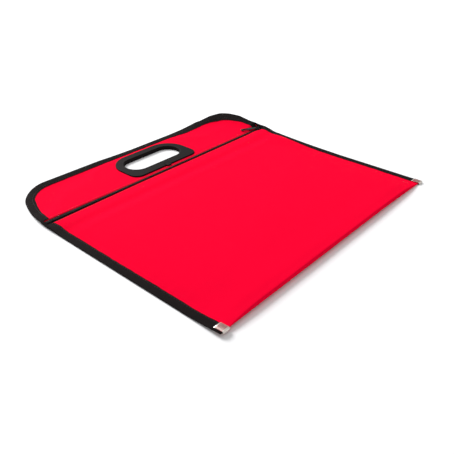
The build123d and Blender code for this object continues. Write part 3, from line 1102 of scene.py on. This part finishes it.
def hem_stitching(label, direction, sizes, material):
    """The row of stitches along one hem beside the zip."""
    x = np.linspace(-SIDE + HEM_STITCH_END, SIDE - HEM_STITCH_END, 400)
    y = ZIP_LINE + direction * (hem_gap(x, sizes) + HEM_STITCH_OFFSET)
    z = header_height(x, y) if direction > 0 else front_height(x, y)
    line = np.stack([x, y, z + 0.04 * MM], axis=1)
    row = stitch_row(f"hem_stitches_{label}", line, sizes.stitch_pitch)
    finish_piece(row, "bag", "bag_cloth", material)


class ZIPBAG_OT_zip(bpy.types.Operator):
    """Make the zip's woven tapes, its two coils of teeth and the hem stitching"""

    bl_idname = "zip_bag.zip"
    bl_label = "Zip"

    def execute(self, context):
        sizes = sizes_of(context)
        colours = colours_of(context)
        woven = paint_once(zip_cloth, "black zip tape", colours.zip_tape)
        coil = paint_once(nylon, "black nylon", colours.coil)
        red_thread = paint_once(thread, "red thread", colours.cloth)
        black_thread = paint_once(thread, "black thread", colours.binding)
        for label, node, direction in (("top", "upper", 1), ("low", "lower", -1)):
            zip_tape(label, node, direction, woven)
            zip_teeth(label, node, direction, sizes.tooth_pitch, coil)
            hem_stitching(label, direction, sizes, red_thread)
            repaint(f"zip_cord_{node}", black_thread)
        return {"FINISHED"}


class ZIPBAG_OT_slider(bpy.types.Operator):
    """Make the zip's slider and its puller"""

    bl_idname = "zip_bag.slider"
    bl_label = "Slider and puller"

    def execute(self, context):
        enamel = paint_once(gloss_enamel, "black enamel", colours_of(context).enamel)
        slider = softened_copy("slider_body", "zip_slider", 0.22 * MM, 3)
        finish_piece(slider, "slider", "slider_metal", enamel, "slider_body")
        puller = softened_copy("puller_tab", "zip_puller", 0.2 * MM, 3)
        finish_piece(puller, "puller", "slider_metal", enamel, "puller_tab")
        return {"FINISHED"}


# ---------------------------------------------------------------- clips and frames


class ZIPBAG_OT_clips(bpy.types.Operator):
    """Make the ribbed metal clips that close the binding's ends"""

    bl_idname = "zip_bag.clips"
    bl_label = "End clips"

    def execute(self, context):
        nickel = paint_once(plated_metal, "nickel plate", colours_of(context).metal)
        for end in ("left", "right"):
            clip = softened_copy(f"corner_clip_{end}", f"end_clip_{end}", 0.1 * MM)
            low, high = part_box(f"corner_clip_{end}")
            inner = min(low.x, high.x, key=abs)
            narrower = 1 - CLIP_BARE_EDGE / (high.x - low.x)
            for v in clip.data.vertices:
                v.co.x = inner + (v.co.x - inner) * narrower
                v.co.z += float(lift(v.co.x, v.co.y))
            finish_piece(clip, "bag", "clip_metal", nickel, f"corner_clip_{end}")
        return {"FINISHED"}


class ZIPBAG_OT_hand_hole(bpy.types.Operator):
    """Give the two moulded frames of the hand hole their plastic"""

    bl_idname = "zip_bag.hand_hole"
    bl_label = "Hand hole frames"

    def execute(self, context):
        plastic = paint_once(moulded_plastic, "charcoal plastic", colours_of(context).plastic)
        for node in ("handle_front", "handle_back"):
            repaint(node, plastic)
        return {"FINISHED"}


# ---------------------------------------------------------------- stage


class ZIPBAG_OT_stage(bpy.types.Operator):
    """Set the pale table, the soft light and the camera"""

    bl_idname = "zip_bag.stage"
    bl_label = "Stage"

    def execute(self, context):
        start_fresh()
        bpy.ops.mesh.primitive_plane_add(size=6, location=(0, 0, -0.02 * MM))
        floor = context.active_object
        floor.name = "floor"
        paint = Paint("pale table", roughness=0.9, specular=0.0)
        paint.shader.inputs["Base Color"].default_value = (*colours_of(context).floor, 1)
        floor.data.materials.append(paint.material)

        world = bpy.data.worlds.new("soft studio")
        world.use_nodes = True
        sky = world.node_tree.nodes["Background"]
        sky.inputs["Color"].default_value = (1.0, 1.0, 1.0, 1)
        sky.inputs["Strength"].default_value = SKY_STRENGTH
        context.scene.world = world

        start_fresh()
        bpy.ops.object.light_add(type="AREA", location=LIGHT_PLACE)
        light = context.active_object
        light.name = "back light"
        light.data.shape = "DISK"
        light.data.size = LIGHT_SIZE
        light.data.energy = LIGHT_POWER
        light.rotation_euler = (-light.location).to_track_quat("-Z", "Y").to_euler()

        bpy.ops.object.camera_add()
        camera = context.active_object
        camera.name = "camera"
        camera.data.lens = CAMERA_LENS
        camera.data.sensor_width = 36
        camera.data.clip_start = 0.01
        camera.location = CAMERA_PLACE
        camera.rotation_euler = (math.radians(90 - CAMERA_DIP), 0, math.radians(CAMERA_TURN))
        context.scene.camera = camera
        context.scene.view_settings.view_transform = "Standard"
        return {"FINISHED"}


# ---------------------------------------------------------------- panel and registration


OPERATORS = (
    ZIPBAG_OT_pocket_cloth,
    ZIPBAG_OT_header_cloth,
    ZIPBAG_OT_edge_tape,
    ZIPBAG_OT_zip,
    ZIPBAG_OT_slider,
    ZIPBAG_OT_clips,
    ZIPBAG_OT_hand_hole,
    ZIPBAG_OT_stage,
)


class ZIPBAG_PT_panel(bpy.types.Panel):
    """The bag's settings and the operators that build it"""

    bl_idname = "ZIPBAG_PT_panel"
    bl_label = "Zip bag"
    bl_space_type = "VIEW_3D"
    bl_region_type = "UI"
    bl_category = "Zip bag"

    def draw(self, context):
        for settings in (sizes_of(context), colours_of(context)):
            for key in settings.bl_rna.properties.keys():
                if key not in ("rna_type", "name"):
                    self.layout.prop(settings, key)
        for operator in OPERATORS:
            self.layout.operator(operator.bl_idname)


CLASSES = (ZIPBAG_PG_sizes, ZIPBAG_PG_colours, *OPERATORS, ZIPBAG_PT_panel)


def register():
    """Makes the bag's settings, operators and panel known."""
    for cls in CLASSES:
        bpy.utils.register_class(cls)
    bpy.types.Scene.zip_bag_sizes = bpy.props.PointerProperty(type=ZIPBAG_PG_sizes)
    bpy.types.Scene.zip_bag_colours = bpy.props.PointerProperty(type=ZIPBAG_PG_colours)


def unregister():
    """Takes the bag's settings, operators and panel away again."""
    del bpy.types.Scene.zip_bag_colours
    del bpy.types.Scene.zip_bag_sizes
    for cls in reversed(CLASSES):
        bpy.utils.unregister_class(cls)


def main():
    """Builds the bag with its own operators."""
    register()
    for operator in OPERATORS:
        getattr(bpy.ops.zip_bag, operator.bl_idname.split(".")[1])()


if __name__ == "__main__":
    main()
